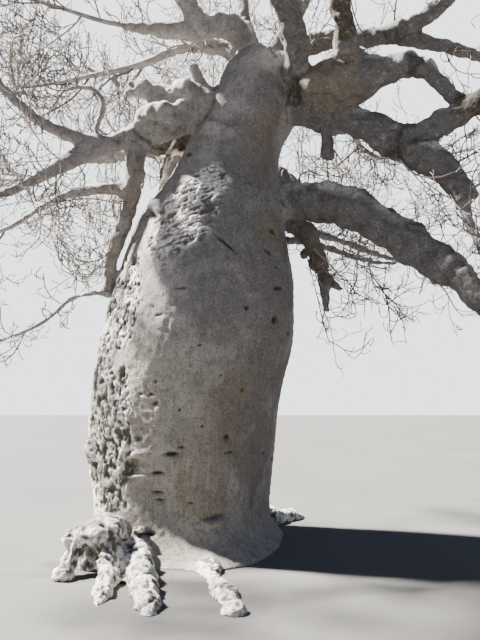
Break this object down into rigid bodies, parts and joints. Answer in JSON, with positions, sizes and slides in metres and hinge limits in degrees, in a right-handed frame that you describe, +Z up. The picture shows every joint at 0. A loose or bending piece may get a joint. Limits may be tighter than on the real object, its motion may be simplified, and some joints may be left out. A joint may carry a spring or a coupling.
{
  "type": "baobab tree",
  "caption": "Bare Australian baobab (boab) with a swollen grey trunk on a flared foot, drooping boughs that turn up again, and a crown of curly leafless twigs.",
  "frame": {"origin": "middle of the flat cut under the trunk, at ground level", "axes": "+Z up, +X to the right of the pictured side, -Y towards the camera"},
  "size_m": [10.7591, 7.7861, 9.7625],
  "materials": {
    "trunk_bark": "rough pale grey bark with pits and vertical wrinkles",
    "bough_bark": "rough grey bark, darker underneath, with pale crusts",
    "twig_bark": "thin matt grey-brown bark"
  },
  "bodies": {
    "root": {"trunk": "trunk_bark", "right_low": "bough_bark", "right_low_drop": "bough_bark", "right_mid": "bough_bark", "right_mid_up": "bough_bark", "right_high": "bough_bark", "right_high_drop": "bough_bark", "top_near": "bough_bark", "top_lean": "bough_bark", "top_back": "bough_bark", "left_high": "bough_bark", "left_high_up": "bough_bark", "left_high_out": "bough_bark", "left_back": "bough_bark", "left_shoulder": "bough_bark", "left_stub": "bough_bark", "left_drop": "bough_bark", "left_drop_tip": "bough_bark", "left_back_drop": "bough_bark", "left_main": "bough_bark", "left_up": "bough_bark", "left_hook": "bough_bark", "left_arm": "bough_bark", "right_elbow": "bough_bark", "right_behind": "bough_bark", "right_behind_low": "bough_bark", "right_rise": "bough_bark", "right_rise_up": "bough_bark", "right_rise_out": "bough_bark", "back_right": "bough_bark", "back_right_low": "bough_bark", "back_high": "bough_bark", "top_far": "bough_bark", "back_low": "bough_bark", "back_left": "bough_bark", "back_left_low": "bough_bark", "twigs_right_low": "twig_bark", "twigs_right_mid": "twig_bark", "twigs_right_mid_up": "twig_bark", "twigs_right_high": "twig_bark", "twigs_top_near": "twig_bark", "twigs_top_lean": "twig_bark", "twigs_top_back": "twig_bark", "twigs_left_high_up": "twig_bark", "twigs_left_high": "twig_bark", "twigs_left_back": "twig_bark", "twigs_left_drop": "twig_bark", "twigs_left_main": "twig_bark", "twigs_left_up": "twig_bark", "twigs_left_arm": "twig_bark", "twigs_right_behind": "twig_bark", "twigs_right_rise_up": "twig_bark", "twigs_right_rise_out": "twig_bark", "twigs_back_right": "twig_bark", "twigs_back_right_low": "twig_bark", "twigs_back_high": "twig_bark", "twigs_top_far": "twig_bark", "twigs_back_low": "twig_bark", "twigs_back_left": "twig_bark", "twigs_back_left_low": "twig_bark"}
  },
  "joints": []
}
